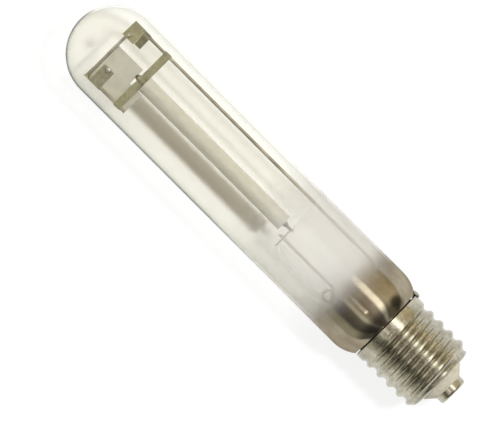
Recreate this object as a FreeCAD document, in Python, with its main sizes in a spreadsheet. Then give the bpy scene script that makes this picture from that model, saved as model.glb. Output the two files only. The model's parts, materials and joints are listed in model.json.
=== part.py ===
import FreeCAD
import Part

import math
import os

import Sketcher

# High pressure sodium lamp: tubular clear bulb, ceramic arc tube and E40 screw cap, lying on its side.
# The origin is the middle of the centre contact's face. +X runs along the lamp's axis to the dome,
# the inner frame lies in the XY plane, its long side rod on the -Y side, and +Z is up.

# Driving sizes, in millimetres: name, value, what it is.
SIZES = [
    ("lamp_length", 245.0, "contact face to the tip of the dome"),
    ("bulb_diameter", 46.0, "outside of the tubular bulb"),
    ("glass_wall", 1.2, "wall of the bulb"),
    ("shoulder_length", 10.8, "run of the curve from the cap's rim out to the full bulb"),
    ("joint_step", 3.6, "bulb's side in to where it meets the cap's rim"),
    ("joint_gap", 0.9, "open groove between the cap's rim and the bulb"),
    ("ledge_wall", 0.7, "glass at the ledge by the cap's rim"),
    ("neck_diameter", 33.0, "straight neck of the bulb inside the cap"),
    ("seal_height", 24.0, "contact face to the seal of neck and stem"),
    ("cap_length", 44.4, "contact face to the cap's rim"),
    ("shell_wall", 0.4, "sheet of the cap shell"),
    ("thread_crest", 39.3, "diameter over the thread's crests"),
    ("thread_root", 35.7, "diameter at the thread's roots"),
    ("thread_pitch", 6.35, "four turns to the inch"),
    ("thread_start", 3.42, "height of a crest on the underside"),
    ("thread_fade", 2.6, "run over which the thread sinks in at each end"),
    ("thread_lead_in", 2.5, "plain sheet round the lower corner before the thread"),
    ("collar_length", 3.6, "plain collar at the cap's rim"),
    ("collar_diameter", 39.0, "plain collar, outside"),
    ("shell_round", 5.0, "rounded lower edge of the shell"),
    ("contact_diameter", 14.8, "centre contact"),
    ("contact_height", 3.8, "centre contact, face to its edge"),
    ("contact_wall", 0.5, "sheet of the centre contact"),
    ("contact_edge", 1.2, "rolled edge of the centre contact, outside"),
    ("eyelet_diameter", 3.0, "hole in the centre contact"),
    ("solder_diameter", 6.0, "solder on the centre contact"),
    ("insulator_diameter", 23.6, "insulator where it leaves the shell"),
    ("insulator_height", 4.6, "contact edge to the shell"),
    ("insulator_flange", 28.0, "insulator inside the shell, diameter"),
    ("insulator_depth", 2.8, "insulator inside the shell, thickness"),
    ("cement_length", 15.0, "capping cement along the neck"),
    ("side_solder_rise", 1.2, "solder at the rim, out from the shell wire's end"),
    ("side_solder_along", 2.2, "solder at the rim, half its length along the lamp"),
    ("side_solder_round", 2.5, "solder at the rim, half its width round the cap"),
    ("stem_diameter", 19.5, "tube of the stem"),
    ("stem_wall", 1.1, "wall of the stem's tube"),
    ("flare_length", 10.0, "flared foot of the stem"),
    ("press_top", 66.5, "contact face to the top of the stem's press"),
    ("press_length", 5.0, "flat part of the press"),
    ("press_taper", 5.0, "run from the round tube to the flat press"),
    ("press_thickness", 6.4, "flat press, across its thickness"),
    ("exhaust_diameter", 5.0, "exhaust tube"),
    ("exhaust_wall", 0.9, "wall of the exhaust tube"),
    ("exhaust_end", 15.0, "contact face to the sealed tip of the exhaust tube"),
    ("lead_diameter", 1.5, "rods through the press"),
    ("lead_spacing", 10.4, "distance between the two rods"),
    ("lead_tail", 12.0, "rods below the press"),
    ("wire_diameter", 0.7, "soft wires in the cap"),
    ("wire_bend", 1.5, "bend of the soft wires, at the centre line"),
    ("frame_diameter", 1.6, "rod of the support frame"),
    ("frame_bend", 2.4, "bend of the frame, at the centre line"),
    ("frame_reach", 16.6, "axis to the side rod"),
    ("return_reach", 15.9, "axis to the short return rod"),
    ("return_length", 24.5, "return rod, from the end rod back"),
    ("dome_gap", 20.7, "end rod to the tip of the dome"),
    ("foot_gap", 1.6, "press to the frame's foot, centre line"),
    ("weld_gap", 0.05, "clearance at welds of round to round"),
    ("arc_start", 44.7, "stem's press to the arc tube's near end"),
    ("arc_setback", 21.8, "end rod's middle back to the arc tube's far end"),
    ("tube_diameter", 8.2, "arc tube, outside"),
    ("tube_wall", 0.75, "wall of the arc tube"),
    ("plug_length", 3.5, "ceramic plug in each end of the arc tube"),
    ("niobium_diameter", 2.6, "niobium tube through each plug"),
    ("niobium_wall", 0.25, "wall of the niobium tube"),
    ("niobium_reach", 5.6, "niobium tube outside the arc tube"),
    ("tail_diameter", 1.5, "pinched tail of the cap side niobium tube"),
    ("tail_length", 3.4, "pinched tail, length"),
    ("electrode_diameter", 0.9, "tungsten shank"),
    ("electrode_reach", 9.0, "shank inside the arc tube, from the plug"),
    ("coil_wire", 0.6, "tungsten coil on the shank"),
    ("coil_turns", 7, "turns of the coil"),
    ("coil_bow", 0.36, "curve of each turn of the coil"),
    ("coil_setback", 1.2, "bare tip of the shank"),
    ("strip_width", 3.8, "cross strip, along the lamp"),
    ("strip_thickness", 0.4, "cross strip, sheet"),
    ("strip_offset", 1.9, "cross strip's middle to the arc tube's end"),
    ("sleeve_start", 0.2, "arc tube's end to the sleeve"),
    ("sleeve_length", 4.35, "sleeve round the dome side niobium tube"),
    ("sleeve_wall", 0.3, "wall of the sleeve"),
    ("cross_wire_diameter", 0.9, "cross wire at the cap side"),
    ("cross_wire_setback", 1.1, "tip of the pinched tail to the middle of the cross wire"),
    ("cross_wire_left", 1.3, "cross wire past the axis, on the side rod's side"),
    ("cross_wire_right", 10.3, "cross wire past the axis, on the other side"),
    ("leaf_thickness", 0.35, "sheet of the bulb spacers"),
    ("leaf_gap", 0.6, "leaf to the bulb's inside, which the dimple bridges"),
    ("leaf_overhang", 0.6, "leaves past the outer side of the end rod"),
    ("leaf_web", 4.0, "flat back of a spacer, where it is welded to its rod"),
    ("side_near_length", 6.9, "side spacer's near arm, along the lamp from the leaves' outer edge"),
    ("side_near_tip", 8.9, "side spacer's near arm, axis to its tip"),
    ("side_far_start", 6.0, "side spacer's far arm, its beginning from the leaves' outer edge"),
    ("side_far_end", 9.7, "side spacer's far arm, its end from the leaves' outer edge"),
    ("side_far_tip", 9.8, "side spacer's far arm, axis to its tip"),
    ("return_near_start", 4.1, "return spacer's near arm, its beginning from the leaves' outer edge"),
    ("return_near_end", 10.3, "return spacer's near arm, its end from the leaves' outer edge"),
    ("return_near_tip", 6.6, "return spacer's near arm, axis to its tip"),
    ("return_far_length", 5.0, "return spacer's far arm, along the lamp from the leaves' outer edge"),
    ("return_far_tip", 9.6, "return spacer's far arm, axis to its tip"),
    ("shield_thickness", 0.25, "sheet of the end shield"),
    ("shield_edge", 4.0, "shield past the axis, on the side rod's side"),
    ("shield_clearance", 0.6, "notch of the shield round the arc tube"),
    ("getter_diameter", 6.4, "getter ring, outside"),
    ("getter_bore", 3.8, "getter ring, hole"),
    ("getter_height", 1.2, "getter ring, along its axis"),
    ("getter_wall", 0.25, "sheet of the getter's channel"),
    ("getter_rise", 3.1, "stem's press to the near side of the getter ring"),
    ("getter_strip_width", 1.2, "strip that carries the getter"),
    ("getter_strip_thickness", 0.3, "strip that carries the getter, sheet"),
]


class Size:
    """A length that carries both its number and the sheet's expression for it."""

    def __init__(self, number, words=None):
        self.number = float(number)
        self.words = words or repr(float(number))

    def _with(self, other, sign, number):
        return Size(number, f"({self.words} {sign} {size(other).words})")

    def __add__(self, other):
        return self._with(other, "+", self.number + size(other).number)

    def __sub__(self, other):
        return self._with(other, "-", self.number - size(other).number)

    def __mul__(self, other):
        return self._with(other, "*", self.number * size(other).number)

    def __truediv__(self, other):
        return self._with(other, "/", self.number / size(other).number)

    def __neg__(self):
        return Size(0) - self


def size(value):
    return value if isinstance(value, Size) else Size(value)


def root(value):
    return Size(math.sqrt(value.number), f"sqrt({value.words})")


def leg(radius, across):
    """The other leg of a right triangle: where a circle of this radius crosses a line."""
    return root(radius * radius - across * across)


def tie(target, name, value):
    """Bind a property to the sheet."""
    target.setExpression(name, size(value).words)


class Bow:
    """An arc between two corners of an outline; it bends left of the way the outline runs, or right."""

    def __init__(self, radius, left=False):
        self.radius = size(radius)
        self.left = left


doc = FreeCAD.newDocument("SodiumLamp")
sheet = doc.addObject("Spreadsheet::Sheet", "Sizes")
d = {}
for row, (alias, value, note) in enumerate(SIZES, start=1):
    sheet.set(f"A{row}", alias)
    sheet.set(f"B{row}", str(value))
    sheet.set(f"C{row}", note)
    sheet.setAlias(f"B{row}", alias)
    d[alias] = Size(value, f"Sizes.{alias}")
doc.recompute()

# Radius of the flat speck at the pole of a round end.
POLE = 0.05

AXIS_TO_X = FreeCAD.Rotation(FreeCAD.Vector(0, 1, 0), 90)

# Places that several pieces share.
bulb_r = d["bulb_diameter"] / 2
bulb_in = bulb_r - d["glass_wall"]
dome_base = d["lamp_length"] - bulb_r
rim = d["cap_length"]
joint = rim + d["joint_gap"]
joint_r = bulb_r - d["joint_step"]
neck_r = d["neck_diameter"] / 2
shell_low = d["contact_height"] + d["insulator_height"]
stem_r = d["stem_diameter"] / 2
press_base = d["press_top"] - d["press_length"]
stem_top = press_base - d["press_taper"]
lead_r = d["lead_diameter"] / 2
lead_y = d["lead_spacing"] / 2
lead_low = stem_top - d["lead_tail"]
wire_r = d["wire_diameter"] / 2
frame_r = d["frame_diameter"] / 2
end_x = d["lamp_length"] - d["dome_gap"]
return_x = end_x - d["return_length"]
foot_x = d["press_top"] + d["foot_gap"]
tube_r = d["tube_diameter"] / 2
tube_in = tube_r - d["tube_wall"]
tube_low = d["press_top"] + d["arc_start"]
tube_high = end_x - d["arc_setback"]
niobium_r = d["niobium_diameter"] / 2
strip_x = tube_high + d["strip_offset"]
sleeve_low = tube_high + d["sleeve_start"]
sleeve_high = sleeve_low + d["sleeve_length"]
sleeve_r = niobium_r + d["sleeve_wall"]
getter_x = d["press_top"] + d["getter_rise"] + d["getter_diameter"] / 2
getter_y = lead_y + lead_r + d["getter_diameter"] / 2 + d["getter_wall"]


# Helpers for bodies, sketches and rods.
def plane(body, role):
    return next(item for item in body.Origin.OriginFeatures if item.Role == role)


def new_body(label):
    body = doc.addObject("PartDesign::Body", label)
    body.Label = label
    return body


def new_sketch(body, role="XY_Plane", offset=None):
    sketch = body.newObject("Sketcher::SketchObject", "Outline")
    sketch.AttachmentSupport = [(plane(body, role), "")]
    sketch.MapMode = "FlatFace"
    if offset is not None:
        tie(sketch, "AttachmentOffset.Base.z", offset)
    return sketch


def arc_through(start, end, bow):
    """The short arc between two corners with the bow's radius, given anticlockwise."""
    chord = end - start
    side = FreeCAD.Vector(-chord.y, chord.x, 0).normalize()
    if not bow.left:
        side = side * -1
    rise = bow.radius.number - math.sqrt(max(bow.radius.number ** 2 - chord.Length ** 2 / 4, 0.0))
    top = (start + end) * 0.5 + side * rise
    return Part.Arc(end, top, start) if bow.left else Part.Arc(start, top, end)


def draw(sketch, outline, closed=True):
    """Draw an outline of corners, with a Bow between two corners where the edge is an arc."""
    corners = [item for item in outline if not isinstance(item, Bow)]
    bows = {}
    seen = 0
    for item in outline:
        if isinstance(item, Bow):
            bows[seen - 1] = item
        else:
            seen += 1
    corners = [(size(across), size(up)) for across, up in corners]
    points = [FreeCAD.Vector(across.number, up.number, 0) for across, up in corners]
    count = len(points) if closed else len(points) - 1
    ends = []
    for index in range(count):
        start = points[index]
        end = points[(index + 1) % len(points)]
        if index in bows:
            edge = sketch.addGeometry(arc_through(start, end, bows[index]), False)
        else:
            edge = sketch.addGeometry(Part.LineSegment(start, end), False)
        forward = (sketch.Geometry[edge].StartPoint - start).Length < 1e-4
        ends.append((1, 2) if forward else (2, 1))
    rules = []
    for index in range(count if closed else count - 1):
        after = (index + 1) % count
        rules.append((None, ("Coincident", index, ends[index][1], after, ends[after][0])))
    for index, bow in bows.items():
        rules.append((bow.radius, ("Radius", index)))
    for index, (across, up) in enumerate(corners):
        edge, end = (index, ends[index][0]) if index < count else (count - 1, ends[-1][1])
        rules.append((across, ("DistanceX", -1, 1, edge, end)))
        rules.append((up, ("DistanceY", -1, 1, edge, end)))
    hold(sketch, rules)


def hold(sketch, rules):
    """Add the constraints together, then bind each one that has a size to the sheet."""
    first = sketch.ConstraintCount
    sketch.addConstraint([
        Sketcher.Constraint(*words) if value is None else Sketcher.Constraint(*words, value.number)
        for value, words in rules
    ])
    for number, (value, words) in enumerate(rules, start=first):
        if value is not None:
            tie(sketch, f"Constraints[{number}]", value)


def turned(label, outline):
    """A piece turned about the lamp's axis: corners are place along the axis and radius."""
    body = new_body(label)
    turn(body, outline)
    return body


def turn(body, outline):
    sketch = new_sketch(body)
    draw(sketch, outline)
    feature = body.newObject("PartDesign::Revolution", "Turned")
    feature.Profile = sketch
    feature.ReferenceAxis = (sketch, ["H_Axis"])
    feature.Angle = 360
    return feature


def pad_along_x(body, outline, start, length):
    """A prism along the lamp: corners are Y and Z."""
    sketch = new_sketch(body, "YZ_Plane", start)
    draw(sketch, outline)
    feature = body.newObject("PartDesign::Pad", "Pad")
    feature.Profile = sketch
    tie(feature, "Length", length)
    return feature


def round_end(centre, radius, way=1):
    """Where a round end about a centre on the axis comes to its pole, with a speck of flat there."""
    return (centre + leg(size(radius), size(POLE)) * way, POLE)


def circle(sketch, across, up, radius):
    across, up, radius = size(across), size(up), size(radius)
    centre = FreeCAD.Vector(across.number, up.number, 0)
    edge = sketch.addGeometry(Part.Circle(centre, FreeCAD.Vector(0, 0, 1), radius.number), False)
    hold(sketch, [
        (across, ("DistanceX", -1, 1, edge, 3)),
        (up, ("DistanceY", -1, 1, edge, 3)),
        (radius, ("Radius", edge)),
    ])


def rod(label, start, end, across, radius, up=0):
    """A straight round rod along the lamp."""
    item = doc.addObject("Part::Cylinder", label)
    item.Label = label
    item.Placement = FreeCAD.Placement(FreeCAD.Vector(), AXIS_TO_X)
    tie(item, "Radius", radius)
    tie(item, "Height", end - start)
    tie(item, "Placement.Base.x", start)
    tie(item, "Placement.Base.y", across)
    tie(item, "Placement.Base.z", up)
    return item


def rounded(corners, bend):
    """An open path whose inner corners are rounded to the bend radius."""
    path = [corners[0]]
    for before, here, after in zip(corners, corners[1:], corners[2:]):
        way = [FreeCAD.Vector(b[0].number - a[0].number, b[1].number - a[1].number, 0).normalize()
               for a, b in ((before, here), (here, after))]
        angle = way[0].getAngle(way[1])
        cut = bend * math.tan(angle / 2)
        left = way[0].cross(way[1]).z < 0
        path.append((here[0] - cut * way[0].x, here[1] - cut * way[0].y))
        path.append(Bow(bend, left))
        path.append((here[0] + cut * way[1].x, here[1] + cut * way[1].y))
    path.append(corners[-1])
    return path


def bent_rod(label, corners, bend, radius, first_way):
    """A round rod bent in the XY plane; first_way is X or Y, the way it starts along."""
    corners = [(size(across), size(up)) for across, up in corners]
    body = new_body(label)
    path = new_sketch(body)
    draw(path, rounded(corners, bend), closed=False)
    if first_way == "X":
        section = new_sketch(body, "YZ_Plane", corners[0][0])
        circle(section, corners[0][1], 0, radius)
    else:
        section = new_sketch(body, "XZ_Plane", -corners[0][1])
        circle(section, corners[0][0], 0, radius)
    feature = body.newObject("PartDesign::AdditivePipe", "Rod")
    feature.Profile = section
    feature.Spine = (path, [])
    return body


def carved(label, base, tools):
    """The base less the pieces that it is fitted round."""
    for tool in tools:
        cut = doc.addObject("Part::Cut", f"{label}_fitted")
        cut.Base = base
        cut.Tool = tool
        base = cut
    base.Label = label
    return base


# The outer bulb: a straight neck inside the cap, a ledge, a shoulder, a tube and a round dome.
def outer_bulb():
    drop = d["joint_step"]
    run = d["shoulder_length"]
    bend = (run * run + drop * drop) / (drop * 2)
    inner_joint = joint + d["glass_wall"]
    inner_drop = bulb_in - (joint_r - d["ledge_wall"])
    inner_run = joint + run - inner_joint
    inner_bend = (inner_run * inner_run + inner_drop * inner_drop) / (inner_drop * 2)
    neck_in = neck_r - d["glass_wall"]
    return turned("outer_bulb", [
        (d["seal_height"], neck_in),
        (d["seal_height"], neck_r),
        (joint, neck_r),
        (joint, joint_r),
        Bow(bend, left=True),
        (joint + run, bulb_r),
        (dome_base, bulb_r),
        Bow(bulb_r, left=True),
        round_end(dome_base, bulb_r),
        (round_end(dome_base, bulb_r)[0], 0),
        (round_end(dome_base, bulb_in)[0], 0),
        round_end(dome_base, bulb_in),
        Bow(bulb_in),
        (dome_base, bulb_in),
        (joint + run, bulb_in),
        Bow(inner_bend),
        (inner_joint, bulb_in - inner_drop),
        (inner_joint, neck_in),
    ])


# The stem: a flared glass tube, pressed flat at its top round the two rods.
def stem():
    foot = d["seal_height"] - d["stem_wall"]
    flare = d["flare_length"]
    climb = neck_r - stem_r
    bend = (flare * flare + climb * climb) / (climb * 2)
    stem_in = stem_r - d["stem_wall"]
    body = new_body("stem")
    turn(body, [
        (foot, neck_r - d["stem_wall"]),
        (foot, neck_r),
        (d["seal_height"], neck_r),
        Bow(bend),
        (d["seal_height"] + flare, stem_r),
        (stem_top, stem_r),
        (stem_top, stem_in),
        (foot + flare, stem_in),
        Bow(bend, left=True),
    ])
    tube_end = new_sketch(body, "YZ_Plane", stem_top)
    circle(tube_end, 0, 0, stem_r)
    flat_end = new_sketch(body, "YZ_Plane", press_base)
    draw(flat_end, press_section())
    taper = body.newObject("PartDesign::AdditiveLoft", "Taper")
    taper.Profile = tube_end
    taper.Sections = [flat_end]
    pad_along_x(body, press_section(), press_base, d["press_length"])
    holes = new_sketch(body, "YZ_Plane", d["press_top"])
    circle(holes, lead_y, 0, lead_r)
    circle(holes, -lead_y, 0, lead_r)
    pocket = body.newObject("PartDesign::Pocket", "Rods")
    pocket.Profile = holes
    tie(pocket, "Length", d["press_length"] + d["press_taper"])
    return body


def press_section():
    """The flat press: an oval as wide as the stem's tube."""
    wide = stem_r
    thick = d["press_thickness"] / 2
    flat = wide - thick
    return [
        (-flat, -thick),
        (flat, -thick),
        Bow(thick),
        (wide, 0),
        Bow(thick),
        (flat, thick),
        (-flat, thick),
        Bow(thick),
        (-wide, 0),
        Bow(thick),
    ]


# The exhaust tube: open into the press's foot, drawn to a round tip inside the cap.
def exhaust_tube():
    outside = d["exhaust_diameter"] / 2
    inside = outside - d["exhaust_wall"]
    centre = d["exhaust_end"] + outside
    return turned("exhaust_tube", [
        round_end(centre, outside, -1),
        Bow(outside, left=True),
        (centre, outside),
        (stem_top, outside),
        (stem_top, inside),
        (centre, inside),
        Bow(inside),
        round_end(centre, inside, -1),
        (round_end(centre, inside, -1)[0], 0),
        (round_end(centre, outside, -1)[0], 0),
    ])


def frame_lead():
    return rod("frame_lead", lead_low, foot_x + frame_r + d["weld_gap"], -lead_y, lead_r)


def centre_lead():
    top = tube_low - d["niobium_reach"] + d["tail_length"]
    return rod("centre_lead", lead_low, top, lead_y, lead_r)


# The support frame: one rod from the press up the side, across the dome end and a little way back.
def support_frame():
    start = -(lead_y + lead_r + d["weld_gap"])
    return bent_rod("support_frame", [
        (foot_x, start),
        (foot_x, -d["frame_reach"]),
        (end_x, -d["frame_reach"]),
        (end_x, d["return_reach"]),
        (return_x, d["return_reach"]),
    ], d["frame_bend"], frame_r, "Y")


# A bulb spacer: a folded leaf on the frame, its near arm up and its far arm down along the glass.
def bulb_spacer(label, side, reach, near, far, tips):
    outside = bulb_in - d["leaf_gap"]
    inside = outside - d["leaf_thickness"]
    back = reach + frame_r
    face = back + d["leaf_thickness"]
    web = d["leaf_web"] / 2
    body = new_body(label)
    for (low, high), way, tip in ((near, 1, tips[0]), (far, -1, tips[1])):
        outward = side * way < 0
        pad_along_x(body, [
            (face * side, -web * way),
            (face * side, leg(outside, face) * way),
            Bow(outside, left=outward),
            (tip * side, leg(outside, tip) * way),
            (tip * side, leg(inside, tip) * way),
            Bow(inside, left=not outward),
            (back * side, leg(inside, back) * way),
            (back * side, -web * way),
        ], low, high - low)
    spot = tips[0] + d["leaf_gap"] * 2
    ball_r = d["leaf_gap"] + d["leaf_thickness"] / 2
    ball = body.newObject("PartDesign::AdditiveSphere", "Dimple")
    tie(ball, "Radius", ball_r)
    tie(ball, "AttachmentOffset.Base.x", (near[0] + near[1]) / 2)
    tie(ball, "AttachmentOffset.Base.y", spot * side)
    tie(ball, "AttachmentOffset.Base.z", leg(bulb_in - ball_r, spot))
    ball.AttachmentSupport = [(plane(body, "XY_Plane"), "")]
    ball.MapMode = "FlatFace"
    return body


# The shield: a thin sheet under the end rod and the return rod, notched round the arc tube's end.
def end_shield():
    low = -(frame_r + d["shield_thickness"])
    notch_x = sleeve_high + d["shield_clearance"]
    notch_y = tube_r + d["shield_clearance"]
    body = new_body("end_shield")
    sketch = new_sketch(body, "XY_Plane", low)
    draw(sketch, [
        (notch_x, -d["shield_edge"]),
        (end_x + frame_r, -d["shield_edge"]),
        (end_x + frame_r, d["return_reach"] - d["weld_gap"]),
        (return_x, d["return_reach"] - d["weld_gap"]),
        (return_x, notch_y),
        (notch_x, notch_y),
    ])
    feature = body.newObject("PartDesign::Pad", "Sheet")
    feature.Profile = sketch
    tie(feature, "Length", d["shield_thickness"])
    return body


# The cross strip: hooked round both rods and arched over the sleeve of the niobium tube.
def cross_strip():
    left = -d["frame_reach"]
    right = d["return_reach"]
    over = frame_r + d["strip_thickness"]
    arch = sleeve_r + d["strip_thickness"]
    body = new_body("cross_strip")
    pad_along_x(body, [
        (left, -over),
        Bow(over, left=True),
        (left - over, 0),
        Bow(over, left=True),
        (left, over),
        (-leg(arch, over), over),
        Bow(arch, left=True),
        (leg(arch, over), over),
        (right, over),
        Bow(over, left=True),
        (right + over, 0),
        Bow(over, left=True),
        (right, -over),
        (right, -frame_r),
        Bow(frame_r),
        (right + frame_r, 0),
        Bow(frame_r),
        (right, frame_r),
        (leg(sleeve_r, frame_r), frame_r),
        Bow(sleeve_r),
        (-leg(sleeve_r, frame_r), frame_r),
        (left, frame_r),
        Bow(frame_r),
        (left - frame_r, 0),
        Bow(frame_r),
        (left, -frame_r),
    ], strip_x - d["strip_width"] / 2, d["strip_width"])
    return body


def lead_sleeve():
    return turned("lead_sleeve", [
        (sleeve_low, niobium_r),
        (sleeve_low, sleeve_r),
        (sleeve_high, sleeve_r),
        (sleeve_high, niobium_r),
    ])


# The arc tube with its plugs, niobium tubes and electrodes.
def arc_tube():
    return turned("arc_tube", [
        (tube_low, tube_in),
        (tube_low, tube_r),
        (tube_high, tube_r),
        (tube_high, tube_in),
    ])


def end_plug(label, end, way):
    inner = end - d["plug_length"] * way
    return turned(label, [(end, niobium_r), (end, tube_in), (inner, tube_in), (inner, niobium_r)])


def niobium_tube(label, end, way, tail):
    """A thin tube, open inside the arc tube and closed outside, with a pinched tail or a round tip."""
    bore = niobium_r - d["niobium_wall"]
    inner = end - d["plug_length"] * way
    tip = end + d["niobium_reach"] * way
    if tail:
        shoulder = tip - d["tail_length"] * way
        outside = [
            (shoulder - niobium_r * way, niobium_r),
            (shoulder, d["tail_diameter"] / 2),
            (tip, d["tail_diameter"] / 2),
            (tip, 0),
        ]
        floor = shoulder - niobium_r * way
    else:
        floor = tip - niobium_r * way
        pole = round_end(floor, niobium_r, way)
        outside = [(floor, niobium_r), Bow(niobium_r, left=way > 0), pole, (pole[0], 0)]
    return turned(label, [(inner, bore), (inner, niobium_r)] + outside + [(floor, 0), (floor, bore)])


def electrode(label, end, way, floor):
    """A tungsten shank from the closed end of its niobium tube, with a close coil near its tip."""
    shank = d["electrode_diameter"] / 2
    inner = end - d["plug_length"] * way
    tip = inner - d["electrode_reach"] * way
    wire = d["coil_wire"]
    outline = [(floor, 0), (floor, shank)]
    turns = int(d["coil_turns"].number)
    for turn_index in reversed(range(turns)):
        start = tip + (d["coil_setback"] + wire * (turn_index + 1)) * way
        outline.append((start, shank))
        outline.append(Bow(d["coil_bow"], left=way < 0))
    outline.append((tip + d["coil_setback"] * way, shank))
    outline += [(tip, shank), (tip, 0)]
    return turned(label, outline)


def cross_wire():
    """The short wire that joins the pinched niobium tail to the centre lead."""
    radius = d["cross_wire_diameter"] / 2
    item = doc.addObject("Part::Cylinder", "cross_wire")
    item.Label = "cross_wire"
    item.Placement = FreeCAD.Placement(FreeCAD.Vector(), FreeCAD.Rotation(FreeCAD.Vector(1, 0, 0), -90))
    tie(item, "Radius", radius)
    tie(item, "Height", d["cross_wire_left"] + d["cross_wire_right"])
    tie(item, "Placement.Base.x", tube_low - d["niobium_reach"] + d["cross_wire_setback"])
    tie(item, "Placement.Base.y", -d["cross_wire_left"])
    tie(item, "Placement.Base.z", lead_r + radius + d["weld_gap"])
    return item


# The getter: a ring pressed from sheet as an open channel, on a strip from the centre lead.
def getter_ring():
    outside = d["getter_diameter"] / 2
    inside = d["getter_bore"] / 2
    wall = d["getter_wall"]
    height = d["getter_height"]
    body = new_body("getter_ring")
    turn(body, [
        (0, inside),
        (0, outside),
        (height, outside),
        (height, outside - wall),
        (wall, outside - wall),
        (wall, inside + wall),
        (height, inside + wall),
        (height, inside),
    ])
    body.Placement = FreeCAD.Placement(FreeCAD.Vector(), AXIS_TO_X)
    tie(body, "Placement.Base.x", getter_x)
    tie(body, "Placement.Base.y", getter_y)
    tie(body, "Placement.Base.z", lead_r)
    return body


def getter_strip():
    """The strip lies on the centre lead and on the getter's back, from one to the other."""
    start = (getter_x + d["getter_diameter"] / 2, lead_y - lead_r)
    end = (getter_x - d["getter_bore"] / 2, getter_y + d["getter_bore"] / 4)
    run = FreeCAD.Vector(end[0].number - start[0].number, end[1].number - start[1].number, 0)
    item = doc.addObject("Part::Box", "getter_strip")
    item.Label = "getter_strip"
    angle = math.degrees(math.atan2(run.y, run.x))
    item.Placement = FreeCAD.Placement(FreeCAD.Vector(), FreeCAD.Rotation(FreeCAD.Vector(0, 0, 1), angle))
    tie(item, "Length", run.Length)
    tie(item, "Width", d["getter_strip_width"])
    tie(item, "Height", d["getter_strip_thickness"])
    tie(item, "Placement.Base.x", start[0])
    tie(item, "Placement.Base.y", start[1])
    tie(item, "Placement.Base.z", lead_r)
    return item


# The cap shell: thin sheet rolled into a round thread, with a plain collar and a turned-in lower lip.
# Each side of the sheet is one smooth surface from the lip's corner to the rim, set by control points
# in columns round the cap; a run is a distance along the sheet from the start of the corner.
SKIN_COLUMNS = 32
SKIN_ROWS_PER_PITCH = 8

# A cubic surface through given places has its control points at these shares of the places beside.
CONTROL_SHARES = ((-1, -1 / 6), (0, 8 / 6), (1, -1 / 6))


def smooth(share):
    """0 to 1 with no kink at either end."""
    share = min(max(share, 0.0), 1.0)
    return share * share * (3 - 2 * share)


def groove_depth(angle, height, inset):
    """How far the round thread lies inside its crests; inset is the side of the sheet, into the metal."""
    pitch = d["thread_pitch"].number
    half_depth = (d["thread_crest"].number - d["thread_root"].number) / 4
    curve = ((pitch / 4) ** 2 + half_depth ** 2) / (2 * half_depth)
    turns = (height - d["thread_start"].number) / pitch - angle / (2 * math.pi)
    from_crest = abs(turns - round(turns)) * pitch
    crest_r = curve - inset
    root_r = curve + inset
    if from_crest < crest_r * (pitch / 4) / curve:
        return crest_r - math.sqrt(crest_r ** 2 - from_crest ** 2)
    return 2 * half_depth - root_r + math.sqrt(root_r ** 2 - (pitch / 2 - from_crest) ** 2)


def skin_length():
    straight = rim - shell_low - d["shell_round"]
    return straight.number + d["shell_round"].number * math.pi / 2


def skin_point(angle, run, inset):
    """A place on one side of the sheet, the lamp's axis along Z."""
    bend = d["shell_round"].number
    crest = d["thread_crest"].number / 2
    collar_low = (rim - d["collar_length"]).number
    fade = d["thread_fade"].number
    run = min(max(run, 0.0), skin_length())
    turn_angle = min(run / bend, math.pi / 2)
    radius = crest - bend + (bend - inset) * math.sin(turn_angle)
    height = shell_low.number + bend - (bend - inset) * math.cos(turn_angle)
    height += max(run - bend * math.pi / 2, 0.0)
    step = crest - d["collar_diameter"].number / 2
    radius -= step * smooth((height - collar_low) / fade + 1)
    share = smooth((run - d["thread_lead_in"].number) / fade) * smooth((collar_low - height) / fade)
    radius -= groove_depth(angle, height, inset) * share
    return FreeCAD.Vector(radius * math.cos(angle), radius * math.sin(angle), height)


def control_point(angle, run, angle_step, run_step, inset, at_end):
    point = FreeCAD.Vector()
    for column, share in CONTROL_SHARES:
        for row, part in ((0, 1.0),) if at_end else CONTROL_SHARES:
            near = skin_point(angle + column * angle_step, run + row * run_step, inset)
            point += near * (share * part)
    return point


def shell_skin(inset):
    """One side of the sheet as a single face, closed round the axis."""
    spans = math.ceil(skin_length() / d["thread_pitch"].number * SKIN_ROWS_PER_PITCH)
    run_step = skin_length() / spans
    angle_step = 2 * math.pi / SKIN_COLUMNS
    knots = [0] * 3 + list(range(spans + 1)) + [spans] * 3
    poles = []
    for column in range(SKIN_COLUMNS):
        line = []
        for row in range(spans + 3):
            run = run_step * sum(knots[row + 1:row + 4]) / 3
            at_end = not run_step < run < skin_length() - run_step
            line.append(control_point((column - 1) * angle_step, run, angle_step, run_step, inset, at_end))
        poles.append(line)
    surface = Part.BSplineSurface()
    surface.buildFromPolesMultsKnots(
        poles,
        [1] * (SKIN_COLUMNS + 1),
        [4] + [1] * (spans - 1) + [4],
        list(range(SKIN_COLUMNS + 1)),
        list(range(spans + 1)),
        True,
        False,
        3,
        3,
    )
    return surface.toShape().Faces[0]


def skin_rings(skin):
    """The skin's lower and upper edge."""
    closed = [edge for edge in skin.Edges if edge.isClosed()]
    closed.sort(key=lambda edge: edge.BoundBox.ZMin)
    return [Part.Wire(edge) for edge in closed]


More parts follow.
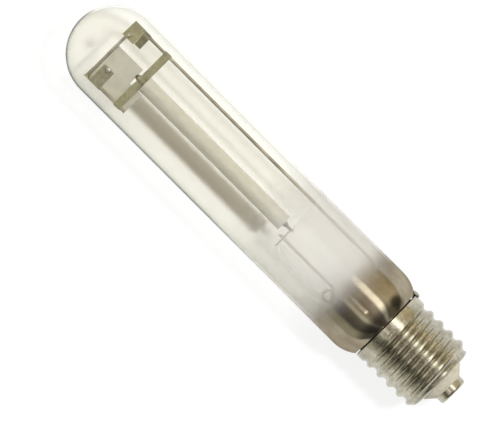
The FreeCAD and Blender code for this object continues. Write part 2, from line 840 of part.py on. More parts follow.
def cap_shell():
    wall = d["shell_wall"].number
    lip_r = d["insulator_diameter"].number / 2
    low = FreeCAD.Vector(0, 0, shell_low.number)
    high = FreeCAD.Vector(0, 0, shell_low.number + wall)
    outside = shell_skin(0)
    inside = shell_skin(wall)
    outside_low, outside_rim = skin_rings(outside)
    inside_low, inside_rim = skin_rings(inside)
    rings = [
        (outside_low, Part.Wire(Part.makeCircle(lip_r, low))),
        (inside_low, Part.Wire(Part.makeCircle(lip_r, high))),
        (outside_rim, inside_rim),
    ]
    faces = [outside, inside, Part.makeCylinder(lip_r, wall, low).Faces[0]]
    faces += [Part.makeFace(list(pair), "Part::FaceMakerBullseye").Faces[0] for pair in rings]
    sheet_metal = Part.makeCompound(faces)
    sheet_metal.sewShape()
    solid = Part.makeSolid(sheet_metal.Shells[0])
    if solid.Volume < 0:
        solid.reverse()
    item = doc.addObject("Part::Feature", "cap_shell")
    item.Label = "cap_shell"
    item.Shape = solid
    item.Placement = FreeCAD.Placement(FreeCAD.Vector(), AXIS_TO_X)
    return item


# The insulator: moulded in the shell's lower lip, with a cone down to the contact.
def cap_insulator():
    hole = d["eyelet_diameter"] / 2
    boss = d["contact_diameter"] / 2 - d["contact_wall"]
    neck = d["insulator_diameter"] / 2
    lip = shell_low + d["shell_wall"]
    return turned("cap_insulator", [
        (d["contact_wall"] * 2, hole),
        (d["contact_wall"] * 2, boss - d["contact_wall"]),
        (d["contact_wall"] * 3, boss),
        (d["contact_height"], boss),
        (d["contact_height"], d["contact_diameter"] / 2),
        (shell_low - d["shell_wall"] * 2, neck - d["shell_wall"] / 2),
        (shell_low, neck),
        (lip, neck),
        (lip, d["insulator_flange"] / 2),
        (lip + d["insulator_depth"], d["insulator_flange"] / 2),
        (lip + d["insulator_depth"], hole),
    ])


# The centre contact: a shallow cup with a rolled edge and a countersunk eyelet.
def centre_contact():
    outside = d["contact_diameter"] / 2
    wall = d["contact_wall"]
    edge = d["contact_edge"]
    return turned("centre_contact", [
        (wall, d["eyelet_diameter"] / 2),
        (0, d["solder_diameter"] / 2),
        (0, outside - edge),
        Bow(edge, left=True),
        (edge, outside),
        (d["contact_height"], outside),
        (d["contact_height"], outside - wall),
        (edge, outside - wall),
        Bow(edge - wall),
        (wall, outside - edge),
    ])


def contact_solder():
    wall = d["contact_wall"]
    hole = d["eyelet_diameter"] / 2
    return turned("contact_solder", [
        (wall * 2, 0),
        (wall * 2, hole),
        (wall, hole),
        (0, d["solder_diameter"] / 2),
        (0, 0),
    ])


# The soft wires in the cap, from the rods in the stem to the contact and to the shell's rim.
def contact_wire():
    turn_x = d["exhaust_end"] - d["exhaust_diameter"] / 2
    return bent_rod("contact_wire", [
        (lead_low, lead_y),
        (turn_x + d["exhaust_diameter"], lead_y),
        (turn_x - d["wire_bend"], 0),
        (d["contact_wall"] * 2, 0),
    ], d["wire_bend"], wire_r, "X")


def shell_wire():
    outer = (neck_r + d["thread_root"] / 2 - d["shell_wall"]) / 2
    low = d["seal_height"] - d["stem_wall"] - d["wire_bend"] * 2
    exit_x = rim + d["joint_gap"] / 2
    return bent_rod("shell_wire", [
        (lead_low, -lead_y),
        (low, -lead_y),
        (low, -outer),
        (exit_x, -outer),
        (exit_x, -d["collar_diameter"] / 2 - wire_r),
    ], d["wire_bend"], wire_r, "X")


def side_solder(fitted):
    """The solder over the shell wire's end, across the groove at the rim."""
    blob = doc.addObject("Part::Ellipsoid", "side_solder_blob")
    tie(blob, "Radius1", d["side_solder_rise"])
    tie(blob, "Radius2", d["side_solder_along"])
    tie(blob, "Radius3", d["side_solder_round"])
    blob.Placement = FreeCAD.Placement(FreeCAD.Vector(), FreeCAD.Rotation(FreeCAD.Vector(1, 0, 0), -90))
    tie(blob, "Placement.Base.x", rim + d["joint_gap"] / 2)
    tie(blob, "Placement.Base.y", -(d["collar_diameter"] / 2 + wire_r))
    return carved("side_solder", blob, fitted)


def capping_cement(fitted):
    """The ring of cement that holds the neck in the shell, with the shell wire through it."""
    body = new_body("cement_ring")
    end = rim - d["collar_length"]
    inner_root = d["thread_root"] / 2 - d["shell_wall"]
    turn(body, [
        (end - d["cement_length"], neck_r),
        (end - d["cement_length"], inner_root),
        (end, inner_root),
        (end, neck_r),
    ])
    return carved("capping_cement", body, fitted)


def spacers():
    """The two bulb spacers, each with its two arms side by side along the lamp."""
    outer = end_x + frame_r + d["leaf_overhang"]
    first = bulb_spacer("bulb_spacer_side", -1, d["frame_reach"],
                        (outer - d["side_near_length"], outer),
                        (outer - d["side_far_end"], outer - d["side_far_start"]),
                        (d["side_near_tip"], d["side_far_tip"]))
    second = bulb_spacer("bulb_spacer_return", 1, d["return_reach"],
                         (outer - d["return_near_end"], outer - d["return_near_start"]),
                         (outer - d["return_far_length"], outer),
                         (d["return_near_tip"], d["return_far_tip"]))
    return [first, second]


def niobium_floor(end, way, tail):
    reach = d["niobium_reach"] - (d["tail_length"] if tail else 0)
    return end + (reach - niobium_r) * way


def build():
    bulb = outer_bulb()
    shell = cap_shell()
    wire = shell_wire()
    frame = support_frame()
    pieces = [bulb, shell, wire, frame, stem(), exhaust_tube(), frame_lead(), centre_lead()]
    pieces += spacers()
    pieces += [end_shield(), cross_strip(), lead_sleeve(), arc_tube()]
    pieces += [
        end_plug("end_plug_dome", tube_high, 1),
        end_plug("end_plug_cap", tube_low, -1),
        niobium_tube("niobium_tube_dome", tube_high, 1, tail=False),
        niobium_tube("niobium_tube_cap", tube_low, -1, tail=True),
        electrode("electrode_dome", tube_high, 1, niobium_floor(tube_high, 1, False)),
        electrode("electrode_cap", tube_low, -1, niobium_floor(tube_low, -1, True)),
    ]
    pieces += [cross_wire(), getter_ring(), getter_strip()]
    pieces += [cap_insulator(), centre_contact(), contact_solder(), contact_wire()]
    doc.recompute()
    pieces += [side_solder([bulb, shell, wire]), capping_cement([wire])]
    doc.recompute()
    return pieces


def check(pieces):
    """Stop before anything is written if an object failed or a piece is not a sound solid."""
    faults = []
    for item in doc.Objects:
        if "Invalid" in item.State or "Error" in item.State:
            owner = item.getParentGeoFeatureGroup()
            faults.append(f"{owner.Label if owner else ''} {item.Label}: {item.getStatusString()}")
    for piece in pieces:
        shape = piece.Shape
        if shape.isNull() or not shape.isValid() or not shape.Solids:
            faults.append(f"{piece.Label} has no sound solid")
    if faults:
        raise RuntimeError("; ".join(faults))


def write(pieces):
    os.makedirs("parts", exist_ok=True)
    for piece in pieces:
        piece.Shape.exportStep(f"parts/{piece.Label}.step")
        print(f"{piece.Label}: {len(piece.Shape.Solids)} solid, {piece.Shape.Volume:.1f} cubic mm")


built = build()
check(built)
write(built)
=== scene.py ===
import json
import math

import bmesh
import bpy
from mathutils import Matrix, Vector


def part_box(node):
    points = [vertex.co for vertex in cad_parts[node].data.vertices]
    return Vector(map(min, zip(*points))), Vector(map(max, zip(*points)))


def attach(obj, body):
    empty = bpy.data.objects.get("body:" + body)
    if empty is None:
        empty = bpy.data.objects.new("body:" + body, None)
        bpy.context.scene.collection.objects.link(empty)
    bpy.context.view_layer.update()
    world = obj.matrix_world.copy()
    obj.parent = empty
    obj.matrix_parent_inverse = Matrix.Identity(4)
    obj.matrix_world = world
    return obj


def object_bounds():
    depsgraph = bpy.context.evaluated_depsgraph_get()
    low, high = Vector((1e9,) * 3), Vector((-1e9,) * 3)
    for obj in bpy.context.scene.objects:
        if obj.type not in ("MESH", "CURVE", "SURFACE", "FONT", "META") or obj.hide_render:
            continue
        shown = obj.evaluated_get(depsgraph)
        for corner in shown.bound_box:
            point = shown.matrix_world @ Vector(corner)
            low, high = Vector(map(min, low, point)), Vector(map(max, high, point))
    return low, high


# A tubular clear discharge lamp lying on a white floor, seen straight from above.
# Lengths are in metres, in the row frame: X along the lamp from the contact to the dome, Z up.
# Tones and tints are linear red, green and blue. Noise scales are waves in a metre.

MM = 0.001
WHITE = (1.0, 1.0, 1.0)

# The camera: the photograph's width in pixels, one pixel's size at the lamp's axis, the place that its
# middle shows, the lens and sensor in millimetres, and the turn that lays the lamp across the picture.
PHOTO_WIDTH = 500
PIXEL = 0.4635 * MM
AIM_X = 123.3 * MM
AIM_Y = 10.3 * MM
LENS = 500.0
SENSOR = 36.0
ROLL_DEGREES = 225.0

# The camera sees from and to these multiples of its own distance.
CLIP_NEAR = 0.1
CLIP_FAR = 10.0

# The key light: how far its shadows fall along and across the lamp for one bulb radius of height,
# its strength, its colour, and how wide it looks in degrees.
SHADOW_ALONG = 6.5 * MM
SHADOW_ACROSS = 8.8 * MM
KEY_STRENGTH = 2.3
KEY_COLOUR = (0.89, 0.93, 1.0)
KEY_ANGLE = 6.0

# A small soft light over the contact, which glints on the thread: its tilt from overhead in degrees,
# its distance, its side and its power.
GLINT_TILT = 11.5
GLINT_DISTANCE = 0.6
GLINT_SIDE = 80.0 * MM
GLINT_POWER = 0.05

# The room's tone by its tilt from overhead, in degrees across the lamp, minus towards the side rod.
# A warm cast multiplies the tones.
ROOM_STRENGTH = 0.68
ROOM_WARMTH = (1.0, 0.98, 0.87)
ROOM = [
    (-88, (1.47, 1.50, 1.69)),
    (-85, (0.92, 0.84, 0.62)),
    (-68, (1.35, 1.20, 0.96)),
    (-42, (1.35, 1.22, 1.04)),
    (-34, (1.00, 0.95, 0.90)),
    (-30, (4.30, 4.40, 4.90)),
    (-19, (4.30, 4.40, 4.90)),
    (-14, (1.00, 0.94, 0.96)),
    (-6, (0.95, 0.88, 0.90)),
    (8, (0.55, 0.46, 0.44)),
    (18, (0.62, 0.56, 0.54)),
    (25, (1.35, 1.35, 1.40)),
    (29, (1.35, 1.35, 1.40)),
    (34, (0.36, 0.35, 0.33)),
    (58, (0.17, 0.17, 0.17)),
    (66, (0.75, 0.75, 0.72)),
    (85, (0.95, 0.97, 0.95)),
    (88, (1.47, 1.50, 1.69)),
]

# What is left of the room's light towards the cap and towards the dome, and between which parts along
# X of a direction it falls to that.
ROOM_CAP_END = 0.2
ROOM_CAP_FADE = (-0.75, -0.3)
ROOM_DOME_END = 0.55
ROOM_DOME_FADE = (0.35, 0.9)

# The floor: its side, how far it lies under the lamp, its tones, and how much of its own light and
# shadow the camera sees where nothing is in front of it.
FLOOR_SIZE = 40.0
FLOOR_GAP = 0.2 * MM
FLOOR_DARK = (0.93, 0.93, 0.93)
FLOOR_LIGHT = (0.97, 0.97, 0.97)
FLOOR_PAPER = 400.0
FLOOR_SHADOW = 0.15

# The metal film inside the bulb: where it begins and where it is dense, from the contact, how far its
# edge wanders, how much it covers, how much of the light it lets by for shadows, its tones and gloss.
FILM_EDGE = 75.0 * MM
FILM_DENSE = 58.0 * MM
FILM_WANDER = 4.0 * MM
FILM_CLOUDS = 45.0
FILM_COVER = 0.95
FILM_SHADOW_LOSS = 0.6
FILM_DARK = (0.28, 0.235, 0.165)
FILM_LIGHT = (0.42, 0.37, 0.27)
FILM_PATCHES = 90.0
FILM_RANGE = (0.35, 0.65)
FILM_ROUGHNESS = 0.12

# A nearly black spot painted in the film by the shoulder, as a painted dark reflection: its middle and
# half width along and across the lamp, and between which parts of the half width it fades.
PAINTED_REFLECTION = (48.8 * MM, -11.0 * MM)
PAINTED_REFLECTION_SIZE = (3.4 * MM, 2.9 * MM)
PAINTED_REFLECTION_FADE = (0.5, 1.45)
PAINTED_REFLECTION_DARK = (0.085, 0.07, 0.035)
PAINTED_REFLECTION_ROUGHNESS = 0.2

# A painted shade line on the glass next to the collar, in the gap where the bulb meets the cap, and where
# it is full.
SEAT_SHADE_WIDTH = 1.1 * MM
SEAT_SHADE_FULL = SEAT_SHADE_WIDTH / 3
SEAT_SHADE_DARK = (0.05, 0.04, 0.028)

# The film thins out to a faint bright veil between these places along the lamp. Across it the veil
# falls to its share on the far side between these parts of the bulb's radius.
VEIL_START = 134.0 * MM
VEIL_FULL = 96.0 * MM
VEIL_COVER = 0.36
VEIL_FAR_SIDE = 0.5
VEIL_ACROSS = (0.3, 0.8)
VEIL_TONE = (0.83, 0.81, 0.775)

# The dark line along the bulb's edge, a painted refraction of the room's dark side: the way to that side,
# how far the glass must turn that way, where the line fades along the lamp and what is left of it there.
DARK_SIDE = (0.45, 0.9, 0.0)
DARK_SIDE_TURN = (0.05, 0.45)
EDGE_GONE = 92.0 * MM
EDGE_FULL = 150.0 * MM
EDGE_LEFT = 0.15
EDGE_REFRACTION_TINT = (0.44, 0.45, 0.41)
EDGE_FACING = (0.62, 0.84)

# The bulb's wall, and between which parts of it, from the outside, its outer face is told from its inner.
GLASS_WALL = 1.2 * MM
OUTER_PART = 0.3
INNER_PART = 0.7

# The glass's tint where it is seen face on, half way and nearly edge on, how much it mirrors face on
# and edge on, and how steeply that rises.
FACE_TINT = (0.983, 0.980, 0.968)
SLANT_TINT = (0.957, 0.955, 0.938)
SLANT_FACING = 0.5
STEEP_TINT = (0.905, 0.905, 0.885)
STEEP_FACING = 0.85
BULB_GLOSS = (0.005, 0.25)
GLOSS_RISE = 5.0
GLASS_ROUGHNESS = 0.03

# The stem's glass, whose dark edge is partly its longer path through the glass and partly painted dark
# refraction.
STEM_TINT = (0.97, 0.97, 0.95)
STEM_EDGE_REFRACTION_TINT = (0.45, 0.44, 0.38)
STEM_EDGE_FACING = (0.62, 0.95)
STEM_GLOSS = (0.04, 0.5)

# How much of the light thin parts let by, as a broad light leaves of their shadows.
ROD_SHADOW_LOSS = 0.8
SHEET_SHADOW_LOSS = 0.95
TUBE_SHADOW_LOSS = 0.3
TUBE_SHADOW_TINT = (1.0, 0.95, 0.78)

# Noise mostly lies in the first range, and two noises multiplied in the second.
NOISE_RANGE = (0.3, 0.7)
PRODUCT_RANGE = (0.15, 0.4)

# Metal: its fine grain, its broad patches, how far the grain spreads its roughness, and how the grain
# is drawn out along a wire.
METAL_GRAIN = 900.0
METAL_PATCHES = 140.0
ROUGHNESS_SPREAD = (0.75, 1.3)
DRAWN = (0.1, 1, 1)

# Light passes this many clear layers, so that pieces behind several walls of glass stay lit.
CLEAR_LAYERS = 32

# Spot welds on the sprung leaves: the node, and the weld's place along and across the lamp.
WELDS = [
    ("bulb_spacer_side", 222.9 * MM, -11.2 * MM),
    ("bulb_spacer_return", 218.5 * MM, 7.8 * MM),
]

# A weld's radius, its height, how far its rim sinks into the sheet, and how full its crown and its
# rim are rounded.
WELD_R = 1.4 * MM
WELD_RISE = 0.35 * MM
WELD_RIM = 0.08 * MM
WELD_CROWN = 1.5
WELD_TUCK = 6
WELD_RINGS = 8
WELD_SIDES = 48


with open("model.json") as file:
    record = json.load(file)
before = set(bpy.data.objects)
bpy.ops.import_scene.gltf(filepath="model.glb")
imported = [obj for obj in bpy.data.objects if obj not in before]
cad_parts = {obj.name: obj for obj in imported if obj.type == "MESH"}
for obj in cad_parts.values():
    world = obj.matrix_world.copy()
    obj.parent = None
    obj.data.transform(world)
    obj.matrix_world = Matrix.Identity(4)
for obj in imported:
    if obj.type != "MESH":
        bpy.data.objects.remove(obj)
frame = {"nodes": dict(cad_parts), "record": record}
nodes = frame["nodes"]
cad_low, cad_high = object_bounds()
bulb_low, bulb_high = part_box("outer_bulb")
bulb_r = (bulb_high.y - bulb_low.y) / 2
dome_base = bulb_high.x - bulb_r
collar_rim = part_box("cap_shell")[1].x


# Node helpers.
def new_material(name):
    """A material with an empty node tree."""
    material = bpy.data.materials.new(name)
    material.use_nodes = True
    tree = material.node_tree
    tree.nodes.clear()
    return material, tree


def finish_with(tree, shader):
    output = add(tree, "ShaderNodeOutputMaterial")
    tree.links.new(shader, output.inputs["Surface"])


def add(tree, kind, **values):
    """A shader node with the given properties and input values."""
    node = tree.nodes.new(kind)
    for key, value in values.items():
        if key in node.inputs:
            node.inputs[key].default_value = value
        else:
            setattr(node, key, value)
    return node


def feed(tree, slot, value):
    """Gives an input another node's output, or a fixed value."""
    if isinstance(value, bpy.types.NodeSocket):
        tree.links.new(value, slot)
    elif value is not None:
        slot.default_value = value


def math_node(tree, operation, first, second=None):
    node = add(tree, "ShaderNodeMath", operation=operation)
    feed(tree, node.inputs[0], first)
    feed(tree, node.inputs[1], second)
    return node.outputs[0]


def vector_node(tree, operation, first, second=None):
    node = add(tree, "ShaderNodeVectorMath", operation=operation)
    feed(tree, node.inputs[0], first)
    feed(tree, node.inputs[1], second)
    return node.outputs["Value" if operation in ("LENGTH", "DOT_PRODUCT") else "Vector"]


def remap(tree, value, low, high, to_low, to_high, smooth=True):
    node = add(tree, "ShaderNodeMapRange")
    node.interpolation_type = "SMOOTHSTEP" if smooth else "LINEAR"
    tree.links.new(value, node.inputs["Value"])
    for name, number in (("From Min", low), ("From Max", high), ("To Min", to_low), ("To Max", to_high)):
        node.inputs[name].default_value = number
    return node.outputs[0]


def mix(tree, share, first, second):
    """The first shader, with a share of the second."""
    node = add(tree, "ShaderNodeMixShader")
    feed(tree, node.inputs[0], share)
    feed(tree, node.inputs[1], first)
    feed(tree, node.inputs[2], second)
    return node.outputs[0]


def plain(tree, kind, colour, **values):
    """A shader of one colour."""
    shader = add(tree, kind, **values)
    shader.inputs["Color"].default_value = (*colour, 1)
    return shader.outputs[0]


def object_place(tree):
    """The place on the object."""
    return add(tree, "ShaderNodeTexCoord").outputs["Object"]


def split(tree, vector):
    """A vector's parts along X, Y and Z."""
    parts = add(tree, "ShaderNodeSeparateXYZ")
    tree.links.new(vector, parts.inputs[0])
    return parts.outputs


def noise(tree, scale, detail=3.0, roughness=0.5, stretch=(1, 1, 1)):
    """Noise over the object, squeezed along the axes by stretch."""
    mapping = add(tree, "ShaderNodeMapping")
    mapping.inputs["Scale"].default_value = stretch
    texture = add(tree, "ShaderNodeTexNoise", Scale=scale, Detail=detail, Roughness=roughness)
    tree.links.new(object_place(tree), mapping.inputs["Vector"])
    tree.links.new(mapping.outputs[0], texture.inputs["Vector"])
    return texture.outputs["Fac"]


def colours(tree, value, *stops):
    """A colour ramp; each stop is a place and a colour."""
    ramp = add(tree, "ShaderNodeValToRGB")
    elements = ramp.color_ramp.elements
    while len(elements) < len(stops):
        elements.new(0.5)
    for element, (place, colour) in zip(elements, stops):
        element.position = place
        element.color = (*colour, 1.0)
    tree.links.new(value, ramp.inputs[0])
    return ramp.outputs[0]


def two_tones(tree, value, dark, light, tone_range=NOISE_RANGE):
    """From dark to light as the value goes through its range."""
    return colours(tree, value, (tone_range[0], dark), (tone_range[1], light))


def bump(tree, height, distance):
    node = add(tree, "ShaderNodeBump", Distance=distance)
    tree.links.new(height, node.inputs["Height"])
    return node.outputs[0]


def by_ray(tree, to_eye, to_shadow):
    """One number for shadow rays, and another for all the rest."""
    shadow = add(tree, "ShaderNodeLightPath").outputs["Is Shadow Ray"]
    return remap(tree, shadow, 0.0, 1.0, to_eye, to_shadow, smooth=False)


def let_light_by(tree, shader, shadow_loss, see_through, tint):
    """A shader whose shadow is lighter than the piece itself."""
    clear = plain(tree, "ShaderNodeBsdfTransparent", tint)
    return mix(tree, by_ray(tree, see_through, shadow_loss), shader, clear)


# Solid materials.
def metal(name, dark, light, roughness, grain=METAL_GRAIN, stretch=(1, 1, 1), relief=0.02 * MM,
          metallic=1.0, shadow_loss=0.0):
    """Bare metal whose tone, gloss and surface vary with fine grain."""
    material, tree = new_material(name)
    shader = add(tree, "ShaderNodeBsdfPrincipled", Metallic=metallic)
    fine = noise(tree, grain, detail=6.0, roughness=0.6, stretch=stretch)
    mixed = math_node(tree, "MULTIPLY", fine, noise(tree, METAL_PATCHES))
    tree.links.new(two_tones(tree, mixed, dark, light, PRODUCT_RANGE), shader.inputs["Base Color"])
    smoothest, roughest = [roughness * spread for spread in ROUGHNESS_SPREAD]
    gloss = remap(tree, fine, *NOISE_RANGE, smoothest, roughest, smooth=False)
    tree.links.new(gloss, shader.inputs["Roughness"])
    tree.links.new(bump(tree, fine, relief), shader.inputs["Normal"])
    surface = shader.outputs[0]
    if shadow_loss:
        surface = let_light_by(tree, surface, shadow_loss, 0.0, WHITE)
    finish_with(tree, surface)
    return material


def mottled(name, dark, light, roughness, grain, detail=6.0, stretch=(1, 1, 1), relief=0.0,
            see_through=0.0, shadow_loss=0.0, shadow_tint=WHITE):
    """Ceramic, cement or matt sheet with soft mottling."""
    material, tree = new_material(name)
    shader = add(tree, "ShaderNodeBsdfPrincipled", Roughness=roughness)
    mottle = noise(tree, grain, detail=detail, stretch=stretch)
    tree.links.new(two_tones(tree, mottle, dark, light), shader.inputs["Base Color"])
    if relief:
        tree.links.new(bump(tree, mottle, relief), shader.inputs["Normal"])
    surface = shader.outputs[0]
    if shadow_loss:
        surface = let_light_by(tree, surface, shadow_loss, see_through, shadow_tint)
    finish_with(tree, surface)
    return material


# Glass, with the film and the veil inside the bulb.
def clear_glass(tree, face_tint, edge_refraction_tint, edge_facing, gloss, edge_refraction_share=None):
    """Thin clear glass that darkens edge on, partly for its longer path and partly as painted dark
    refraction, and shines there.
    """
    facing = add(tree, "ShaderNodeLayerWeight", Blend=0.5).outputs["Facing"]
    tint = colours(tree, facing, (0.0, face_tint), (SLANT_FACING, SLANT_TINT), (STEEP_FACING, STEEP_TINT))
    clear = add(tree, "ShaderNodeBsdfTransparent")
    tree.links.new(tint, clear.inputs["Color"])
    dark = remap(tree, facing, *edge_facing, 0.0, 1.0)
    if edge_refraction_share is not None:
        dark = math_node(tree, "MULTIPLY", dark, edge_refraction_share)
    edge = plain(tree, "ShaderNodeBsdfTransparent", edge_refraction_tint)
    passed = mix(tree, dark, clear.outputs[0], edge)
    mirror = plain(tree, "ShaderNodeBsdfGlossy", WHITE, Roughness=GLASS_ROUGHNESS)
    rise = math_node(tree, "POWER", facing, GLOSS_RISE)
    return mix(tree, remap(tree, rise, 0.0, 1.0, *gloss, smooth=False), passed, mirror)


def outward(tree):
    """The way out from the bulb's axis, or from the middle of its dome, and how far out the place is."""
    place = object_place(tree)
    middle = add(tree, "ShaderNodeCombineXYZ")
    feed(tree, middle.inputs["X"], math_node(tree, "MINIMUM", split(tree, place)["X"], dome_base))
    way = vector_node(tree, "SUBTRACT", place, middle.outputs[0])
    return vector_node(tree, "NORMALIZE", way), vector_node(tree, "LENGTH", way)


def edge_refraction_share(tree, x):
    """Where the bulb's outer face takes the painted dark refraction: on the side towards the room's dark
    side, away from the cap.
    """
    direction, distance = outward(tree)
    turned = vector_node(tree, "DOT_PRODUCT", direction, Vector(DARK_SIDE).normalized())
    dark_side = remap(tree, turned, *DARK_SIDE_TURN, 0.0, 1.0)
    inside = bulb_r - GLASS_WALL * INNER_PART
    outside = bulb_r - GLASS_WALL * OUTER_PART
    outer_face = remap(tree, distance, inside, outside, 0.0, 1.0)
    along = remap(tree, x, EDGE_GONE, EDGE_FULL, EDGE_LEFT, 1.0)
    return math_node(tree, "MULTIPLY", math_node(tree, "MULTIPLY", dark_side, outer_face), along)


def veil(tree):
    """Thin whitish haze, lit from both of its sides."""
    front = plain(tree, "ShaderNodeBsdfDiffuse", VEIL_TONE)
    behind = plain(tree, "ShaderNodeBsdfTranslucent", VEIL_TONE)
    return mix(tree, 0.5, front, behind)


def veil_share(tree, along, y):
    """How much the veil covers, for the eye only."""
    lengthwise = remap(tree, along, VEIL_START, VEIL_FULL, 0.0, VEIL_COVER)
    near, far = [bulb_r * part for part in VEIL_ACROSS]
    across = remap(tree, y, near, far, 1.0, VEIL_FAR_SIDE)
    cover = math_node(tree, "MULTIPLY", lengthwise, across)
    return math_node(tree, "MULTIPLY", cover, by_ray(tree, 1.0, 0.0))


def painted_reflection_share(tree):
    """One in the film's painted dark reflection, falling to nothing at its rim."""
    way = vector_node(tree, "SUBTRACT", object_place(tree), (*PAINTED_REFLECTION, 0.0))
    scaled = vector_node(tree, "MULTIPLY", way, (1 / PAINTED_REFLECTION_SIZE[0], 1 / PAINTED_REFLECTION_SIZE[1], 0.0))
    return remap(tree, vector_node(tree, "LENGTH", scaled), *PAINTED_REFLECTION_FADE, 1.0, 0.0)


def film(tree):
    """The getter's mirror film, with a painted dark reflection by the shoulder."""
    tone = two_tones(tree, noise(tree, FILM_PATCHES, detail=5.0), FILM_DARK, FILM_LIGHT, FILM_RANGE)
    mirror = add(tree, "ShaderNodeBsdfGlossy", Roughness=FILM_ROUGHNESS)
    tree.links.new(tone, mirror.inputs["Color"])
    # A nearly black mirror patch painted into the film: a painted dark reflection.
    painted_reflection = plain(tree, "ShaderNodeBsdfGlossy", PAINTED_REFLECTION_DARK, Roughness=PAINTED_REFLECTION_ROUGHNESS)
    return mix(tree, painted_reflection_share(tree), mirror.outputs[0], painted_reflection)


def film_share(tree, along):
    """How much the film covers, which is less for shadows."""
    cover = remap(tree, along, FILM_EDGE, FILM_DENSE, 0.0, FILM_COVER)
    return math_node(tree, "MULTIPLY", cover, by_ray(tree, 1.0, 1.0 - FILM_SHADOW_LOSS))


def bulb_glass():
    """Clear glass, with the getter's film inside it by the cap, the veil beyond and painted shade at the
    collar.
    """
    material, tree = new_material("bulb_glass")
    parts = split(tree, object_place(tree))
    x = parts["X"]
    clouds = math_node(tree, "SUBTRACT", noise(tree, FILM_CLOUDS, detail=4.0), 0.5)
    along = math_node(tree, "ADD", x, math_node(tree, "MULTIPLY", clouds, FILM_WANDER))
    glass = clear_glass(tree, FACE_TINT, EDGE_REFRACTION_TINT, EDGE_FACING, BULB_GLOSS, edge_refraction_share(tree, x))
    veiled = mix(tree, veil_share(tree, along, parts["Y"]), glass, veil(tree))
    filmed = mix(tree, film_share(tree, along), veiled, film(tree))
    # A painted shade line next to the collar, in the gap where the bulb meets the cap.
    painted_shade_line = plain(tree, "ShaderNodeBsdfDiffuse", SEAT_SHADE_DARK)
    shade_line_share = remap(tree, x, collar_rim + SEAT_SHADE_WIDTH, collar_rim + SEAT_SHADE_FULL, 0.0, 1.0)
    finish_with(tree, mix(tree, shade_line_share, filmed, painted_shade_line))
    return material


def stem_glass():
    material, tree = new_material("stem_glass")
    finish_with(tree, clear_glass(tree, STEM_TINT, STEM_EDGE_REFRACTION_TINT, STEM_EDGE_FACING, STEM_GLOSS))
    return material


MATERIALS = {
    "clear_glass": bulb_glass(),
    "stem_glass": stem_glass(),
    "nickel_rod": metal(
        "nickel_rod", (0.33, 0.30, 0.235), (0.58, 0.54, 0.435), 0.4,
        stretch=DRAWN, metallic=0.7, shadow_loss=ROD_SHADOW_LOSS,
    ),
    "bright_lead": metal(
        "bright_lead", (0.50, 0.48, 0.41), (0.70, 0.67, 0.59), 0.4,
        stretch=DRAWN, metallic=0.6, shadow_loss=ROD_SHADOW_LOSS,
    ),
    "steel_sheet": metal(
        "steel_sheet", (0.215, 0.20, 0.12), (0.395, 0.37, 0.235), 0.55,
        metallic=0.35, shadow_loss=SHEET_SHADOW_LOSS,
    ),
    # A lit copy of the steel sheet: painted light on the lower sprung leaf, which is turned away from the
    # light.
    "sheet_painted_light": metal(
        "sheet_painted_light", (0.29, 0.27, 0.175), (0.53, 0.50, 0.345), 0.55,
        metallic=0.35, shadow_loss=SHEET_SHADOW_LOSS,
    ),
    "shield_sheet": mottled(
        "shield_sheet", (0.42, 0.40, 0.32), (0.50, 0.48, 0.39), 0.5, grain=200.0, detail=5.0,
        see_through=0.3, shadow_loss=SHEET_SHADOW_LOSS,
    ),
    "alumina": mottled(
        "alumina", (0.56, 0.545, 0.47), (0.64, 0.62, 0.54), 0.3, grain=500.0, detail=5.0,
        stretch=(0.4, 1, 1), relief=0.01 * MM,
        see_through=0.25, shadow_loss=TUBE_SHADOW_LOSS, shadow_tint=TUBE_SHADOW_TINT,
    ),
    "niobium": metal("niobium", (0.18, 0.17, 0.15), (0.33, 0.31, 0.28), 0.4),
    "tungsten": metal("tungsten", (0.10, 0.10, 0.10), (0.20, 0.20, 0.20), 0.45),
    "plated_cap": metal("plated_cap", (0.35, 0.325, 0.245), (0.62, 0.585, 0.475), 0.21, relief=0.01 * MM),
    "solder": metal("solder", (0.40, 0.39, 0.35), (0.62, 0.60, 0.55), 0.25, grain=300.0),
    "insulator": mottled(
        "insulator", (0.46, 0.42, 0.32), (0.58, 0.54, 0.43), 0.8, grain=400.0, relief=0.05 * MM,
    ),
    "cement": mottled(
        "cement", (0.05, 0.045, 0.035), (0.14, 0.12, 0.09), 0.8, grain=900.0, relief=0.05 * MM,
    ),
}

# Nodes that are brighter than the rest of their slot, and their finish. The lower sprung leaf's lighter
# finish is painted light, a lit copy of the steel sheet for a leaf turned away from the light.
BRIGHT_NODES = {
    "centre_lead": "bright_lead",
    "cross_wire": "bright_lead",
    "bulb_spacer_return": "sheet_painted_light",
}


def dress_nodes():
    """Each CAD node gets its own finish, or else that of its material slot."""
    for entry in frame["record"]["subparts"]:
        node = nodes[entry["node"]]
        finish = BRIGHT_NODES.get(entry["node"], entry["material_slot"])
        node.data.materials.clear()
        node.data.materials.append(MATERIALS[finish])


def put(name, data):
    """A new object in the scene."""
    item = bpy.data.objects.new(name, data)
    bpy.context.scene.collection.objects.link(item)
    return item


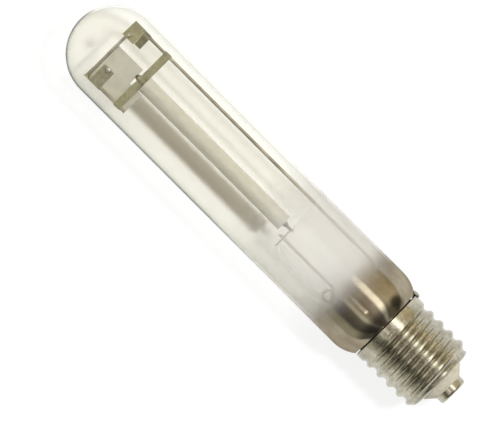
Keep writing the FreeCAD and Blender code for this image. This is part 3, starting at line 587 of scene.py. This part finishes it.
def weld_mesh(name, turn):
    """A low round button, rounded at the crown and tucked in at the rim."""
    mesh = bmesh.new()
    crown = mesh.verts.new((0, 0, WELD_RISE))
    angles = [2 * math.pi * side / WELD_SIDES for side in range(WELD_SIDES)]
    rings = []
    for ring in range(1, WELD_RINGS + 1):
        share = ring / WELD_RINGS
        quarter = share * math.pi / 2
        radius = WELD_R * math.sin(quarter)
        height = WELD_RISE * math.cos(quarter) ** WELD_CROWN - WELD_RIM * share ** WELD_TUCK
        places = [(radius * math.cos(angle), radius * math.sin(angle), height) for angle in angles]
        rings.append([mesh.verts.new(place) for place in places])
    for side in range(WELD_SIDES):
        after = (side + 1) % WELD_SIDES
        mesh.faces.new((crown, rings[0][side], rings[0][after]))
        for inner, outer in zip(rings, rings[1:]):
            mesh.faces.new((inner[side], outer[side], outer[after], inner[after]))
    mesh.faces.new(reversed(rings[-1]))
    bmesh.ops.transform(mesh, matrix=turn, verts=mesh.verts)
    data = bpy.data.meshes.new(name)
    mesh.to_mesh(data)
    mesh.free()
    data.shade_smooth()
    return data


def make_weld(node_name, x, y):
    """A button of melted metal on the sheet that lies under a place, as a spot weld leaves."""
    name = "weld_" + node_name
    found, place, normal, _ = nodes[node_name].ray_cast(Vector((x, y, 2 * bulb_r)), Vector((0, 0, -1)))
    if not found:
        raise RuntimeError(name + " has no sheet under it")
    turn = Matrix.Translation(place) @ normal.to_track_quat("Z", "Y").to_matrix().to_4x4()
    weld = put(name, weld_mesh(name, turn))
    weld.data.materials.append(MATERIALS["solder"])
    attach(weld, "root")


def floor_material():
    """Near white with a faint shadow, and with the lamp's full shadows where it shows through the glass."""
    material, tree = new_material("floor_white")
    paper = add(tree, "ShaderNodeBsdfDiffuse")
    tone = two_tones(tree, noise(tree, FLOOR_PAPER, detail=2.0), FLOOR_DARK, FLOOR_LIGHT)
    tree.links.new(tone, paper.inputs["Color"])
    white = plain(tree, "ShaderNodeEmission", WHITE, Strength=1.0)
    path = add(tree, "ShaderNodeLightPath").outputs
    direct = math_node(tree, "LESS_THAN", path["Transparent Depth"], 0.5)
    seen = math_node(tree, "MULTIPLY", path["Is Camera Ray"], direct)
    seen = math_node(tree, "MULTIPLY", seen, 1.0 - FLOOR_SHADOW)
    mirrored = math_node(tree, "MAXIMUM", path["Is Glossy Ray"], path["Is Transmission Ray"])
    finish_with(tree, mix(tree, math_node(tree, "MAXIMUM", seen, mirrored), paper.outputs[0], white))
    return material


def make_floor():
    bpy.ops.mesh.primitive_plane_add(size=FLOOR_SIZE, location=(AIM_X, AIM_Y, cad_low.z - FLOOR_GAP))
    floor = bpy.context.object
    floor.name = "floor"
    floor.data.materials.append(floor_material())


def make_camera():
    camera = put("camera", bpy.data.cameras.new("camera"))
    camera.data.lens = LENS
    camera.data.sensor_width = SENSOR
    distance = LENS * PHOTO_WIDTH * PIXEL / SENSOR
    camera.data.clip_start = distance * CLIP_NEAR
    camera.data.clip_end = distance * CLIP_FAR
    camera.location = (AIM_X, AIM_Y, distance)
    camera.rotation_euler = (0, 0, math.radians(ROLL_DEGREES))
    bpy.context.scene.camera = camera


def make_room():
    """A room whose tone depends on the tilt from overhead, and which is darker beyond the lamp's ends."""
    world = bpy.data.worlds.new("studio")
    bpy.context.scene.world = world
    world.use_nodes = True
    tree = world.node_tree
    parts = split(tree, add(tree, "ShaderNodeTexCoord").outputs["Generated"])
    tilt = math_node(tree, "ARCTAN2", parts["Y"], parts["Z"])
    turn = remap(tree, tilt, -math.pi, math.pi, 0.0, 1.0, smooth=False)
    stops = []
    for degrees, tone in ROOM:
        warm = tuple(part * warmth for part, warmth in zip(tone, ROOM_WARMTH))
        stops.append(((degrees + 180.0) / 360.0, warm))
    cap_end = remap(tree, parts["X"], *ROOM_CAP_FADE, ROOM_CAP_END, 1.0)
    dome_end = remap(tree, parts["X"], *ROOM_DOME_FADE, ROOM_STRENGTH, ROOM_STRENGTH * ROOM_DOME_END)
    background = tree.nodes["Background"].inputs
    feed(tree, background["Color"], colours(tree, turn, *stops))
    feed(tree, background["Strength"], math_node(tree, "MULTIPLY", cap_end, dome_end))


def make_key():
    key = put("key", bpy.data.lights.new("key", "SUN"))
    key.data.energy = KEY_STRENGTH
    key.data.color = KEY_COLOUR
    key.data.angle = math.radians(KEY_ANGLE)
    key.visible_glossy = False
    fall = Vector((SHADOW_ALONG, SHADOW_ACROSS, -bulb_r))
    key.rotation_euler = fall.to_track_quat("-Z", "Y").to_euler()


def make_glint():
    glint = put("glint", bpy.data.lights.new("glint", "AREA"))
    glint.data.energy = GLINT_POWER
    glint.data.size = GLINT_SIDE
    tilt = math.radians(GLINT_TILT)
    glint.location = GLINT_DISTANCE * Vector((0, math.sin(tilt), math.cos(tilt)))
    glint.rotation_euler = (-tilt, 0, 0)


def set_view():
    bpy.context.scene.view_settings.view_transform = "Standard"
    bpy.context.scene.cycles.transparent_max_bounces = CLEAR_LAYERS


dress_nodes()
for weld in WELDS:
    make_weld(*weld)
make_floor()
make_camera()
make_key()
make_glint()
make_room()
set_view()
